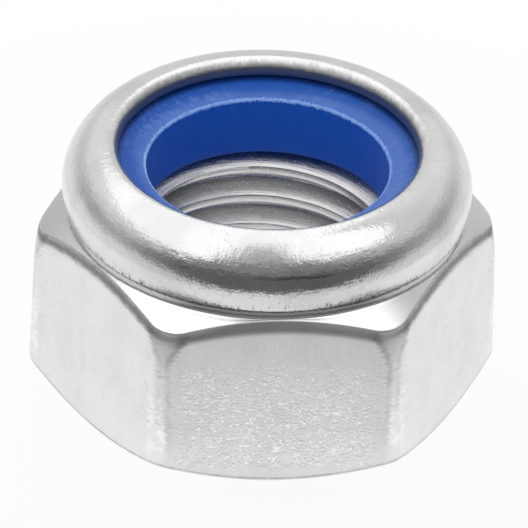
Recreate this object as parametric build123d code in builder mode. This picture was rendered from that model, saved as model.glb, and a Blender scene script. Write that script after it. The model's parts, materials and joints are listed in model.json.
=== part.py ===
"""Nylon insert lock nut for an M16 coarse thread: a steel nut body with a rolled collar, and a nylon ring.

The nut stands on its bearing face, with the thread axis on Z and the origin at the centre of that face.
All sizes are in millimetres. The steel bore is at the thread's minor diameter, without its helical groove.
"""

import math
import os

from build123d import *

# Thread
thread_diameter = 16.0
thread_pitch = 2.0
countersink_margin = 0.4
countersink_angle = 30.0

# Hexagon
across_flats = 24.0
hex_height = 11.2
corner_radius = 1.3
chamfer_angle = 30.0
bearing_margin = 0.3
edge_round = 0.45

# Collar: a short neck, a barrel-shaped side as wide as the flats, and a round shoulder
neck_height = 0.6
neck_undercut = 0.15
barrel_height = 1.2
barrel_bulge = 0.2
shoulder_height = 2.9
shoulder_fullness = 0.49  # 0.552 would be an ellipse
collar_wall = 1.45

# Lip: the collar's edge, rolled in over the ring as far as the bolt allows
bolt_clearance = 0.8
nose_round = 0.7
lip_land = 0.4

# Nylon ring, which reaches inside the bolt's thread, and its seat
thread_grip = 0.9
seat_wall_height = 2.45
ring_clearance = 0.02
ring_dish = 0.5
rim_round = 0.25

# Radii that follow
flat_distance = across_flats / 2
corner_distance = flat_distance / math.cos(math.radians(30))
thread_radius = thread_diameter / 2
minor_radius = thread_radius - 1.0825 * thread_pitch / 2
countersink_radius = thread_radius + countersink_margin
bearing_radius = flat_distance - bearing_margin
collar_foot_radius = flat_distance - barrel_bulge
neck_radius = collar_foot_radius - neck_undercut
seat_radius = flat_distance - collar_wall
lip_edge_radius = thread_radius + bolt_clearance
lip_top_radius = lip_edge_radius + nose_round
lip_bend_radius = seat_radius - lip_edge_radius
ring_bore_radius = thread_radius - thread_grip

# Heights that follow
collar_foot = hex_height + neck_height
shoulder_start = collar_foot + barrel_height
nut_height = shoulder_start + shoulder_height
nose_centre = nut_height - nose_round
lip_underside = nose_centre - lip_land
lip_bend_start = lip_underside - lip_bend_radius
seat_floor = lip_bend_start - seat_wall_height
ring_rim = lip_underside - ring_dish
countersink_depth = (countersink_radius - minor_radius) * math.tan(math.radians(countersink_angle))

# The soft edge between a cone and a flat stays inside the narrowest part of the cone
chamfer_rise = math.tan(math.radians(chamfer_angle))
narrowest_cone = min(bearing_margin, flat_distance - neck_radius) / math.cos(math.radians(chamfer_angle))
widest_round = narrowest_cone / math.tan(math.radians((90 - chamfer_angle) / 2))
arc_round = min(edge_round, 0.9 * widest_round)

with BuildPart() as nut_body:
    # Hexagonal blank with soft corners
    with BuildSketch(Plane.XY) as blank:
        RegularPolygon(radius=flat_distance, side_count=6, major_radius=False)
        fillet(blank.vertices(), corner_radius)
    extrude(amount=hex_height)

    # Both ends are turned to a cone, which leaves an arc at each end of every flat
    with BuildSketch(Plane.XZ) as turned_ends:
        with BuildLine():
            Polyline(
                (0, 0),
                (bearing_radius, 0),
                (corner_distance, (corner_distance - bearing_radius) * chamfer_rise),
                (corner_distance, hex_height - (corner_distance - neck_radius) * chamfer_rise),
                (neck_radius, hex_height),
                (0, hex_height),
                close=True,
            )
        make_face()
    revolve(axis=Axis.Z, mode=Mode.INTERSECT)
    cone_edges = nut_body.faces().filter_by(GeomType.CONE).edges()
    flat_ends = cone_edges.filter_by(GeomType.HYPERBOLA)
    corner_ends = cone_edges.filter_by(GeomType.BSPLINE)
    fillet(flat_ends + corner_ends, arc_round)

    # Collar, solid at first, up to the nose of its rolled edge
    with BuildSketch(Plane.XZ) as collar:
        with BuildLine():
            foot = Polyline(
                (0, hex_height),
                (neck_radius, hex_height),
                (neck_radius, collar_foot),
                (collar_foot_radius, collar_foot),
            )
            shoulder_width = flat_distance - lip_top_radius
            shoulder = Bezier(
                (flat_distance, shoulder_start),
                (flat_distance, shoulder_start + shoulder_fullness * shoulder_height),
                (lip_top_radius + shoulder_fullness * shoulder_width, nut_height),
                (lip_top_radius, nut_height),
            )
            TangentArc(shoulder @ 0, foot @ 1, tangent=(0, -1))
            nose = CenterArc((lip_top_radius, nose_centre), nose_round, 90, 90)
            Polyline(nose @ 1, (lip_edge_radius, lip_underside), (0, lip_underside), foot @ 0)
        make_face()
    revolve(axis=Axis.Z)

    # Seat for the ring, with its roof bent over by the lip
    with BuildSketch(Plane.XZ) as seat:
        with BuildLine():
            bend = CenterArc((lip_edge_radius, lip_bend_start), lip_bend_radius, 0, 90)
            Polyline(bend @ 0, (seat_radius, seat_floor), (0, seat_floor), (0, lip_underside), bend @ 1)
        make_face()
    revolve(axis=Axis.Z, mode=Mode.SUBTRACT)

    # Threaded bore, countersunk at both ends
    with BuildSketch(Plane.XZ) as bore:
        with BuildLine():
            Polyline(
                (0, 0),
                (countersink_radius, 0),
                (minor_radius, countersink_depth),
                (minor_radius, seat_floor - countersink_depth),
                (countersink_radius, seat_floor),
                (0, seat_floor),
                close=True,
            )
        make_face()
    revolve(axis=Axis.Z, mode=Mode.SUBTRACT)

with BuildPart() as nylon_ring:
    # The ring stands on the seat's floor, follows its wall and roof, and dips from the lip to its bore
    with BuildSketch(Plane.XZ) as ring_section:
        with BuildLine():
            pressed = CenterArc((lip_edge_radius, lip_bend_start), lip_bend_radius - ring_clearance, 0, 90)
            Polyline(
                pressed @ 0,
                (seat_radius - ring_clearance, seat_floor),
                (ring_bore_radius, seat_floor),
                (ring_bore_radius, ring_rim),
                pressed @ 1,
            )
        make_face()
        bore_corners = ring_section.vertices().group_by(Axis.X)[0]
        fillet(bore_corners, rim_round)
    revolve(axis=Axis.Z)

os.makedirs("parts", exist_ok=True)
nut_body.part.label = "nut_body"
nylon_ring.part.label = "nylon_ring"
export_step(nut_body.part, "parts/nut_body.step")
export_step(nylon_ring.part, "parts/nylon_ring.step")
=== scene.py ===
"""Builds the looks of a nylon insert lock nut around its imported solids.

The nut stands on its bearing face. Its thread's axis is Z, a corner of the hexagon points to +X
and a flat faces +Y. The sizes in the classes are millimetres and degrees, and each mesh is scaled
to metres as the last step of its making. Depths of bumps are metres.
"""

import json
import logging
import math
from dataclasses import dataclass, field
from enum import Enum, auto
from typing import NamedTuple

import bmesh
import bpy
from mathutils import Matrix, Vector, noise


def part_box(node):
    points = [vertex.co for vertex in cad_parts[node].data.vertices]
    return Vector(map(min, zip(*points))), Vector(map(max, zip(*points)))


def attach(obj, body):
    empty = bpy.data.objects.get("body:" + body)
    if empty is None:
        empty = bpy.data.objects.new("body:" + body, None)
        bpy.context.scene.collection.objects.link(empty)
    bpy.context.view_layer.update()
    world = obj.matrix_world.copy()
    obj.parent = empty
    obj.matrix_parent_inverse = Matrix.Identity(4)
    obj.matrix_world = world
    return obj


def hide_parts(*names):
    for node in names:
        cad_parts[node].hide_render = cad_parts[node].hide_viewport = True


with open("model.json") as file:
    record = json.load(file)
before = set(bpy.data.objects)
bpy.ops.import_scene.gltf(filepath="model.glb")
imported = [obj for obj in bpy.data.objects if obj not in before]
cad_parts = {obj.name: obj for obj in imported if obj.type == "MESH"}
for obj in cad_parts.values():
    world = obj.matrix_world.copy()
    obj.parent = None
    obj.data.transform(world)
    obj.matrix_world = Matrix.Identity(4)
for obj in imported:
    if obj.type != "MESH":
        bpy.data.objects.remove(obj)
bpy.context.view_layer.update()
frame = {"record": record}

MILLIMETRE = 0.001
BODY = "root"
WELD_DISTANCE = 0.0015
SLIVER_LENGTH = 0.0008
RING_CLEARANCE = 0.02
SIXTH_TURN = math.tau / 6
PATTERN_MIDDLE = 0.5

Colour = tuple[float, float, float, float]
Span = tuple[float, float]
Stops = tuple[tuple[float, float], ...]

WHITE: Colour = (1.0, 1.0, 1.0, 1.0)

log = logging.getLogger("lock_nut")


# ---------------------------------------------------------------------------
# Shader maths
# ---------------------------------------------------------------------------


class Pattern(NamedTuple):
    """A noise pattern.

    Attributes:
        across: how much finer it is across the piece than its scale says.
        along: how much finer it is up or along the piece.
        scale: how fine it is as a whole.
        detail: how many finer layers it has.
        rough: how strong each finer layer is.
        twist: how far it is warped.
    """

    across: float
    along: float
    scale: float = 1.0
    detail: float = 2.0
    rough: float = 0.5
    twist: float = 0.0


class Line(NamedTuple):
    """A line drawn where a signal is near a level: its reach to each side, its full core and its strength."""

    level: float
    reach: float
    core: float
    strength: float = 1.0


class Signal:
    """One output socket, on which arithmetic adds Math nodes."""

    def __init__(self, graph: "Graph", socket: bpy.types.NodeSocket) -> None:
        """Wrap a socket of a graph."""
        self.graph = graph
        self.socket = socket

    def math(self, operation: str, *others: "Signal | float") -> "Signal":
        """Add a Math node that starts with this signal."""
        return self.graph.math(operation, self, *others)

    def other(self, output: str) -> "Signal":
        """Return another output of the node that this signal leaves."""
        return Signal(self.graph, self.socket.node.outputs[output])

    def __add__(self, value: "Signal | float") -> "Signal":
        """Return the sum."""
        return self.math("ADD", value)

    def __sub__(self, value: "Signal | float") -> "Signal":
        """Return the difference."""
        return self.math("SUBTRACT", value)

    def __rsub__(self, value: float) -> "Signal":
        """Return a number less this signal."""
        return self.graph.math("SUBTRACT", value, self)

    def __mul__(self, value: "Signal | float") -> "Signal":
        """Return the product."""
        return self.math("MULTIPLY", value)

    def __truediv__(self, value: "Signal | float") -> "Signal":
        """Return the quotient."""
        return self.math("DIVIDE", value)

    def __pow__(self, value: "Signal | float") -> "Signal":
        """Return the power."""
        return self.math("POWER", value)

    def __abs__(self) -> "Signal":
        """Return the size without its sign."""
        return self.math("ABSOLUTE")

    __radd__ = __add__
    __rmul__ = __mul__

    @property
    def swing(self) -> "Signal":
        """Return how far a pattern is above or below its middle."""
        return self - PATTERN_MIDDLE

    def ease(self, start: float, end: float) -> "Signal":
        """Rise smoothly from 0 at start to 1 at end.

        Args:
            start: the value at which the rise begins; above end, the signal falls instead.
            end: the value at which it is complete.

        Returns:
            The eased signal, from 0 to 1.
        """
        low, high, flip = (start, end, False) if start < end else (end, start, True)
        eased = self.graph.node(
            "MapRange",
            {"interpolation_type": "SMOOTHSTEP"},
            {"Value": self, "From Min": low, "From Max": high},
        )
        return 1 - eased if flip else eased

    def soften(self) -> "Signal":
        """Keep a sum of shares from 0 to 1, with soft ends."""
        return self.ease(0.0, 1.0)

    def at_least(self, least: float) -> "Signal":
        """Lift a share from 0 to 1 so that it starts at a least value."""
        return self * (1 - least) + least

    def lines(self, *lines: Line) -> "Signal":
        """Draw lines where this signal is near their levels.

        Args:
            lines: the lines, which are added up.

        Returns:
            Their sum.
        """
        drawn = [abs(self - line.level).ease(line.reach, line.core) * line.strength for line in lines]
        return sum(drawn[1:], drawn[0])


class Graph:
    """Adds nodes to one node tree."""

    def __init__(self, tree: bpy.types.NodeTree) -> None:
        """Start from an empty tree."""
        self.tree = tree
        tree.nodes.clear()

    @staticmethod
    def _socket(sockets: bpy.types.bpy_prop_collection, key: "str | int") -> bpy.types.NodeSocket:
        """Find one socket of a node.

        Args:
            sockets: the node's inputs or outputs.
            key: the socket's place, identifier or name.

        Returns:
            The socket.
        """
        if isinstance(key, int):
            return sockets[key]
        exact = [socket for socket in sockets if socket.identifier == key]
        return exact[0] if exact else sockets[key]

    @staticmethod
    def _fill_ramp(colour_ramp: bpy.types.ColorRamp, stops: "list[tuple[float, Colour]]") -> None:
        """Give a colour ramp its stops.

        Args:
            colour_ramp: the node's new ramp.
            stops: its places and colours, in rising order.
        """
        while len(colour_ramp.elements) < len(stops):
            colour_ramp.elements.new(1.0)
        for element, (place, colour) in zip(colour_ramp.elements, stops):
            element.position, element.color = place, colour

    def node(
        self,
        kind: str,
        settings: "dict[str, object] | None" = None,
        inputs: "dict[str | int, object] | None" = None,
        output: "str | int" = 0,
    ) -> Signal:
        """Add one node.

        Args:
            kind: the node's type, without the words ShaderNode.
            settings: its properties, which are set first; stops are a ramp's (place, colour) pairs.
            inputs: values or signals for its sockets.
            output: the output that is returned.

        Returns:
            The signal of that output, or of the first input on a node without outputs.
        """
        made = self.tree.nodes.new("ShaderNode" + kind)
        for name, value in (settings or {}).items():
            if name == "stops":
                self._fill_ramp(made.color_ramp, value)
            else:
                setattr(made, name, value)
        for key, value in (inputs or {}).items():
            socket = self._socket(made.inputs, key)
            if isinstance(value, Signal):
                self.tree.links.new(value.socket, socket)
            else:
                socket.default_value = value
        return Signal(self, self._socket(made.outputs, output) if made.outputs else made.inputs[0])

    def math(self, operation: str, *values: "Signal | float") -> Signal:
        """Add a Math node for one, two or three values."""
        return self.node("Math", {"operation": operation}, dict(enumerate(values)))

    def combine(self, x: Signal, y: Signal, z: Signal) -> Signal:
        """Join three numbers to a vector."""
        return self.node("CombineXYZ", None, {"X": x, "Y": y, "Z": z})

    def blend(self, share: "Signal | float", first: "Signal | Colour", second: "Signal | Colour") -> Signal:
        """Mix two colours.

        Args:
            share: 0 gives the first colour and 1 the second.
            first: a colour or its signal.
            second: a colour or its signal.

        Returns:
            The mixed colour.
        """
        return self.node(
            "Mix",
            {"data_type": "RGBA"},
            {"Factor_Float": share, "A_Color": first, "B_Color": second},
            "Result_Color",
        )

    def course(self, along: Signal, stops: Stops) -> Signal:
        """Follow a line through given points.

        Args:
            along: the signal at which the line is read.
            stops: the line's points, each a place and the value there, in rising order.

        Returns:
            The line's value.
        """
        first, last = stops[0][0], stops[-1][0]
        most = max(value for _, value in stops)
        ramp_stops = [
            ((place - first) / (last - first), (value / most,) * 3 + (1.0,)) for place, value in stops
        ]
        share = (along - first) / (last - first)
        return self.node("ValToRGB", {"stops": ramp_stops}, {"Fac": share}, "Color") * most

    def attribute(self, name: str) -> Signal:
        """Read a number that the mesh carries at its points."""
        return self.node("Attribute", {"attribute_name": name}, None, "Fac")

    def clouds(self, where: Signal, pattern: Pattern) -> Signal:
        """Add a noise pattern.

        Args:
            where: the vector at which it is read.
            pattern: its fineness, layers and twist.

        Returns:
            The pattern, about 0 to 1 around its middle.
        """
        values = {"Vector": where, "Scale": pattern.scale, "Detail": pattern.detail}
        values |= {"Roughness": pattern.rough, "Distortion": pattern.twist}
        return self.node("TexNoise", None, values)

    def bump(self, height: Signal, depth: float, below: "Signal | None" = None) -> Signal:
        """Turn a height from 0 to 1 into a normal.

        Args:
            height: the pattern's height.
            depth: how many metres a height of 1 is.
            below: the normal that the bump stands on.

        Returns:
            The bumped normal.
        """
        inputs = {"Strength": 1.0, "Distance": depth, "Height": height}
        return self.node("Bump", None, inputs if below is None else inputs | {"Normal": below})


def new_material(name: str) -> "tuple[bpy.types.Material, Graph]":
    """Make an empty material.

    Args:
        name: the material's name.

    Returns:
        The material and the graph that fills it.
    """
    material = bpy.data.materials.new(name)
    material.use_nodes = True
    return material, Graph(material.node_tree)


class Surface:
    """The place on a piece, in millimetres, and the direction from the nut's axis to it."""

    def __init__(self, graph: Graph) -> None:
        """Read the place from the object's own coordinates.

        Args:
            graph: the graph of the piece's material.
        """
        self.graph = graph
        metres = graph.node("TexCoord", None, None, "Object")
        scale = {0: metres, "Scale": 1.0 / MILLIMETRE}
        self.place = graph.node("VectorMath", {"operation": "SCALE"}, scale)
        self.x = graph.node("SeparateXYZ", None, {0: self.place}, "X")
        self.y, self.z = self.x.other("Y"), self.x.other("Z")
        self.radius = (self.x * self.x + self.y * self.y) ** 0.5
        self.unit_x, self.unit_y = self.x / self.radius, self.y / self.radius

    def read(self, pattern: Pattern, shift: float = 0.0) -> Signal:
        """Read a pattern that is stretched up the piece.

        Args:
            pattern: the pattern.
            shift: how far it is moved down, in the pattern's own units.

        Returns:
            Its value.
        """
        if pattern.across == pattern.along == 1.0:
            return self.graph.clouds(self.place, pattern)
        up = self.z * pattern.along
        if shift:
            up = up + shift
        where = self.graph.combine(self.x * pattern.across, self.y * pattern.across, up)
        return self.graph.clouds(where, pattern)

    def read_round(self, pattern: Pattern, along: Signal) -> Signal:
        """Read a pattern that runs round the axis.

        Args:
            pattern: the pattern.
            along: the distance on the piece's section.

        Returns:
            Its value.
        """
        across = pattern.across
        where = self.graph.combine(self.unit_x * across, self.unit_y * across, along * pattern.along)
        return self.graph.clouds(where, pattern)


# ---------------------------------------------------------------------------
# Steel finish
# ---------------------------------------------------------------------------


class SteelSurface(Surface):
    """The steel's surface, with the marks on its mesh and the patterns that several finishes share."""

    FINE_GRAIN = Pattern(1.0, 1.0, 7.0, 2.0, 0.65)
    SLOW_DRIFT = Pattern(1.0, 1.0, 0.22, 2.0, 0.5)
    PATCHES = Pattern(1.0, 1.0, 0.8, 2.0, 0.6)
    PATCH_EDGE: Span = (0.35, 0.65)
    STROKES = Pattern(1.1, 5.0, 1.2, 3.0, 0.75)
    HAMMERED = Pattern(15.0, 1.5, 1.0, 3.0, 0.7)
    JAGGED = Pattern(60.0, 2.2, 1.0, 2.0, 0.7)
    FRONT: Span = (0.80, 0.95)
    THREAD_MOUTH: Span = (8.44, 8.38)
    THREAD_END: Span = (10.70, 10.62)
    BEARING_FACE: Span = (0.03, 0.01)

    def __init__(self, graph: Graph) -> None:
        """Read the marks and the shared patterns.

        Args:
            graph: the graph of the steel.
        """
        super().__init__(graph)
        self.flat, self.below = graph.attribute("on_flat"), graph.attribute("below")
        self.above, self.along = graph.attribute("above"), graph.attribute("along")
        self.scuffed, self.neck = graph.attribute("scuffed"), graph.attribute("on_neck")
        self.collar, self.lip = graph.attribute("on_collar"), graph.attribute("on_lip")
        self.run = graph.attribute("run")
        self.grain, self.drift = self.read(self.FINE_GRAIN), self.read(self.SLOW_DRIFT)
        self.patchy = self.read(self.PATCHES).ease(*self.PATCH_EDGE)
        self.stroke = self.read(self.STROKES)
        self.mottle = self.read_round(self.HAMMERED, self.run)
        self.jags = self.read_round(self.JAGGED, self.run)
        self.in_front = (self.unit_y * -1.0).ease(*self.FRONT)
        self.thread = self.radius.ease(*self.THREAD_MOUTH) * self.z.ease(*self.THREAD_END)
        self.faced = self.z.ease(*self.BEARING_FACE) * (1 - self.thread)


@dataclass(frozen=True)
class ScuffHighlightsAndShade:
    """Crinkled scuffs on the flats, drawn as painted highlights on short ridges, each with painted shade
    below it.
    """

    crinkle: Pattern = Pattern(1.5, 2.3, 1.4, 2.0, 0.5, 0.9)
    shade_shift: float = 0.17
    bright_lines: "tuple[Line, ...]" = (
        Line(0.49, 0.044, 0.008),
        Line(0.59, 0.036, 0.008, 0.9),
        Line(0.41, 0.030, 0.008, 0.6),
    )
    shaded_lines: "tuple[Line, ...]" = (Line(0.49, 0.054, 0.010), Line(0.59, 0.044, 0.010, 0.9))
    slanted: Pattern = Pattern(1.2, 1.7, 1.3, 2.0, 0.5, 0.8)
    slant_across: float = -0.6
    slant_up: float = 0.5
    slanted_line: Line = Line(0.50, 0.024, 0.008, 0.9)
    breaks: Pattern = Pattern(1.5, 2.3, 1.9, 1.0, 0.5)
    break_edge: Span = (0.37, 0.50)
    patches: Pattern = Pattern(1.0, 1.0, 0.33, 2.0, 0.6)
    patch_edge: Span = (0.36, 0.58)
    patch_gain: float = 0.35
    everywhere: float = 0.48
    crowd_gain: float = 0.35
    crowd_right: Span = (6.0, 1.0)
    crowd_left: Span = (-6.5, -3.0)
    crowd_top: Span = (8.0, 6.0)
    foot: Span = (0.4, 1.6)
    head: Span = (1.6, 3.2)
    sides: Span = (0.6, 1.6)
    least: float = 0.15
    brightness: float = 0.64

    def draw(self, s: SteelSurface) -> "tuple[Signal, Signal]":
        """Draw the scuffs.

        Args:
            s: the steel's surface.

        Returns:
            The ridges' painted highlights and their painted shade.
        """
        first, second = s.read(self.crinkle), s.read(self.crinkle, self.shade_shift)
        slanting = s.graph.combine(
            s.x * self.slanted.across + s.z * self.slant_across,
            s.y * self.slanted.across,
            s.z * self.slanted.along + s.x * self.slant_up,
        )
        slanted = s.graph.clouds(slanting, self.slanted).lines(self.slanted_line)
        # Painted highlights on the ridges; the shaded lines below them are painted shade.
        bright = first.lines(*self.bright_lines) + slanted
        crowded = s.x.ease(*self.crowd_right) * s.x.ease(*self.crowd_left) * s.z.ease(*self.crowd_top)
        patch = s.read(self.patches).ease(*self.patch_edge) * self.patch_gain
        patch = (patch + self.everywhere + crowded * self.crowd_gain).soften()
        middle = s.z.ease(*self.foot) * s.below.ease(*self.head) * s.along.ease(*self.sides)
        broken = s.read(self.breaks).ease(*self.break_edge)
        scuffs = middle * patch * broken * s.flat * s.scuffed.at_least(self.least)
        return bright * scuffs * self.brightness, (second.lines(*self.shaded_lines) * scuffs).soften()


@dataclass(frozen=True)
class CornerShadingAndHairs:
    """Painted shade and painted highlights along the borders of the hexagon's corners, made ragged by
    strokes, with fine hairs near the corners.
    """

    reach: float = 0.45
    high_reach: float = 0.95
    high: Span = (8.0, 10.2)
    low_reach: float = 0.25
    low: Span = (5.5, 2.5)
    raggedness: float = 1.3
    line_strength: float = 0.75
    line_start: Span = (-0.60, -0.02)
    line_end: Span = (0.32, 0.02)
    line_least: float = 0.2
    line_patch_least: float = 0.5
    line_rise: Span = (2.0, 6.5)
    line_foot: float = 0.4
    shine_strength: float = 0.9
    outer_raggedness: float = 1.6
    outer_shine: Span = (1.35, 0.95)
    inner_shine: Span = (-0.1, -0.4)
    plain_side: Span = (0.6, 0.4)
    scuffed_side: Span = (0.4, 0.6)
    shine_top: Span = (7.0, 5.0)
    shine_foot: Span = (0.6, 2.6)
    shine_gain: float = 0.6
    shine_base: float = 0.2
    shade_strength: float = 0.34
    shade_edge: Span = (0.15, -0.15)
    shade_rise: Span = (7.4, 9.0)
    hairs: Pattern = Pattern(1.6, 8.0, 1.2, 2.0, 0.6)
    hair_strength: float = 0.5
    hair_edge: Span = (0.55, 0.64)
    hair_reach: Span = (1.9, 1.1)
    hair_foot: Span = (1.5, 4.5)
    hair_least: float = 0.4

    def draw(self, s: SteelSurface) -> "tuple[Signal, Signal, Signal]":
        """Draw the corners.

        Args:
            s: the steel's surface.

        Returns:
            The dark lines of painted shade with the painted shade beside them, the painted highlights, and
            the fine hairs.
        """
        border = s.z.ease(*self.high) * self.high_reach + s.z.ease(*self.low) * self.low_reach + self.reach
        beside = s.along - border + s.stroke.swing * self.raggedness
        # The dark line at each corner's border is painted shade, standing in for the shaded side of a small
        # step.
        line = beside.ease(*self.line_start) * beside.ease(*self.line_end) * s.flat
        line = line * s.scuffed.at_least(self.line_least) * s.patchy.at_least(self.line_patch_least)
        line = line * s.z.ease(*self.line_rise).at_least(self.line_foot)
        # Painted shade beside the border, high on the flats.
        shade = beside.ease(*self.shade_edge) * s.flat * s.z.ease(*self.shade_rise)
        # The shine is a painted highlight.
        outer = (s.along + s.stroke.swing * self.outer_raggedness).ease(*self.outer_shine)
        inner = beside.ease(*self.inner_shine) * s.scuffed.ease(*self.scuffed_side)
        shine = (outer * s.scuffed.ease(*self.plain_side) + inner) * s.flat
        shine = shine * s.z.ease(*self.shine_top) * s.z.ease(*self.shine_foot)
        shine = shine * (s.patchy * self.shine_gain + self.shine_base)
        hairs = s.read(self.hairs).ease(*self.hair_edge) * s.along.ease(*self.hair_reach) * s.flat
        hairs = hairs * s.z.ease(*self.hair_foot) * s.patchy.at_least(self.hair_least)
        dark = line * self.line_strength + shade * self.shade_strength
        return dark, shine * self.shine_strength, hairs * self.hair_strength


@dataclass(frozen=True)
class ChamferWearAndShade:
    """The worn band that fades out under each chamfer, whose rough wear is real and whose darkening and dark
    brim are painted shade, and the line of painted shade at the foot of each flat.
    """

    grain_raggedness: float = 0.5
    stroke_raggedness: float = 0.8
    fade: Span = (1.10, 0.05)
    edge_raggedness: float = 0.45
    rubbing: Stops = (
        (-14, 0.50),
        (-6, 0.66),
        (-3.5, 0.60),
        (-1.5, 0.36),
        (0.5, 0.30),
        (3, 0.22),
        (5.5, 0.26),
        (14, 0.50),
    )
    patch_gain: float = 0.2
    grain_gain: float = 1.2
    dull_base: float = 0.3
    brim_strength: float = 0.88
    brim_fade: Span = (0.72, 0.32)
    brim_start: Span = (-0.08, 0.30)
    bare_strength: float = 0.45
    bare_middle: float = -0.6
    bare_ends: Span = (1.5, 4.5)
    bare_edge: Span = (0.38, 0.04)
    scratches: Pattern = Pattern(9.0, 0.7, 1.0, 2.0, 0.6)
    scratch_strength: float = 0.14
    scratch_edge: Span = (0.45, 0.62)
    scratch_start: Span = (0.9, 1.5)
    scratch_end: Span = (3.6, 2.2)
    scratch_least: float = 0.3
    foot_strength: float = 0.9
    foot_raggedness: float = 0.24
    foot_line: Span = (0.27, 0.13)
    foot_patch_least: float = 0.5
    foot_shade_strength: float = 0.15
    foot_shade: Span = (0.9, 0.1)

    def draw(self, s: SteelSurface) -> "tuple[Signal, Signal, Signal, Signal, Signal]":
        """Draw the wear and the painted shade at the upper end of the flats.

        Args:
            s: the steel's surface.

        Returns:
            The whole band, its painted shade, its bare edge, the painted shade of its brim and the scratches
            below it.
        """
        ragged = s.grain.swing * self.grain_raggedness + s.stroke.swing * self.stroke_raggedness
        worn = (s.below + ragged).ease(*self.fade) * s.flat
        edge = s.below + ragged * self.edge_raggedness
        # Painted shade: a dark brim in the band on the plain flats.
        brim_shade = edge.ease(*self.brim_fade) * edge.ease(*self.brim_start) * s.flat * (1 - s.scuffed)
        bare = edge.ease(*self.bare_edge) * abs(s.x - self.bare_middle).ease(*self.bare_ends)
        bare = bare * s.scuffed * s.flat
        # Painted shade along the band, set across the nut by a table of darkness.
        dull = worn * (1 - bare) * s.graph.course(s.x, self.rubbing)
        dull = dull * (s.patchy * self.patch_gain + s.grain * self.grain_gain + self.dull_base)
        scratch = s.read(self.scratches).ease(*self.scratch_edge) * s.flat
        scratch = scratch * s.below.ease(*self.scratch_start) * s.below.ease(*self.scratch_end)
        scratch = scratch * s.scuffed.at_least(self.scratch_least) * self.scratch_strength
        return worn, dull, bare * self.bare_strength, brim_shade * self.brim_strength, scratch

    def draw_foot(self, s: SteelSurface) -> Signal:
        """Draw the painted shade in the crease at the foot of each flat.

        Args:
            s: the steel's surface.

        Returns:
            The dark line of painted shade with the painted shade above it.
        """
        # Painted shade: a dark line along the crease at the flat's foot, with a little shade fading up from
        # it.
        line = (s.above + s.grain.swing * self.foot_raggedness).ease(*self.foot_line)
        line = line * s.flat * s.patchy.at_least(self.foot_patch_least) * self.foot_strength
        return (line + s.above.ease(*self.foot_shade) * s.flat * self.foot_shade_strength).soften()


@dataclass(frozen=True)
class CollarMarks:
    """The collar's burnished bands, its pitted mottle, its rough lip darkened on its inner side with painted
    shade, and a painted dark line across its front.
    """

    rings: Pattern = Pattern(4.0, 5.0, 1.0, 3.0, 0.65)
    drift_strength: float = 0.22
    drift_edge: Span = (0.42, 0.62)
    low_strength: float = 0.12
    low: Span = (13.2, 12.1)
    calm_behind: float = 0.45
    pit_strength: float = 0.45
    pit_jags: float = 0.6
    pit_grain: float = 0.4
    pit_edge: Span = (0.50, 0.64)
    pit_patches: Span = (0.44, 0.60)
    die_strength: float = 0.6
    die_height: float = 14.08
    die_reach: Span = (0.13, 0.03)
    die_mottle: float = 0.20
    die_jags: float = 0.24
    die_breaks: Span = (0.38, 0.52)
    lip_strength: float = 0.72
    lip_jags: float = 0.35
    lip_mottle: float = 0.30
    lip_edge: Span = (0.30, 0.95)

    def draw(self, s: SteelSurface) -> "tuple[Signal, Signal, Signal, Signal]":
        """Draw the collar.

        Args:
            s: the steel's surface.

        Returns:
            Its dull places, its painted shade on the lip with the painted dark line, the lower part and the
            lip's inner side, which is rougher.
        """
        # A painted dark line across the front of the collar, standing in for the edge of a dark reflection.
        wobble = s.mottle.swing * self.die_mottle + s.jags.swing * self.die_jags
        painted_dark_line = (s.z + wobble).lines(Line(self.die_height, *self.die_reach))
        painted_dark_line = painted_dark_line * s.collar * s.drift.ease(*self.die_breaks) * s.in_front
        # The lip's inner side is rougher, and its darkening is painted shade.
        rubbed = s.lip + s.jags.swing * self.lip_jags + s.mottle.swing * self.lip_mottle
        rubbed = rubbed.ease(*self.lip_edge)
        low = s.z.ease(*self.low) * s.collar
        pitted = (s.jags * self.pit_jags + s.grain * self.pit_grain).ease(*self.pit_edge)
        pitted = pitted * s.mottle.ease(*self.pit_patches) * s.collar * s.in_front.at_least(self.calm_behind)
        dull = s.collar * s.drift.ease(*self.drift_edge) * self.drift_strength + low * self.low_strength
        dark = (rubbed * self.lip_strength + painted_dark_line * self.die_strength).soften()
        return dull + pitted * self.pit_strength, dark, low, rubbed


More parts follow.
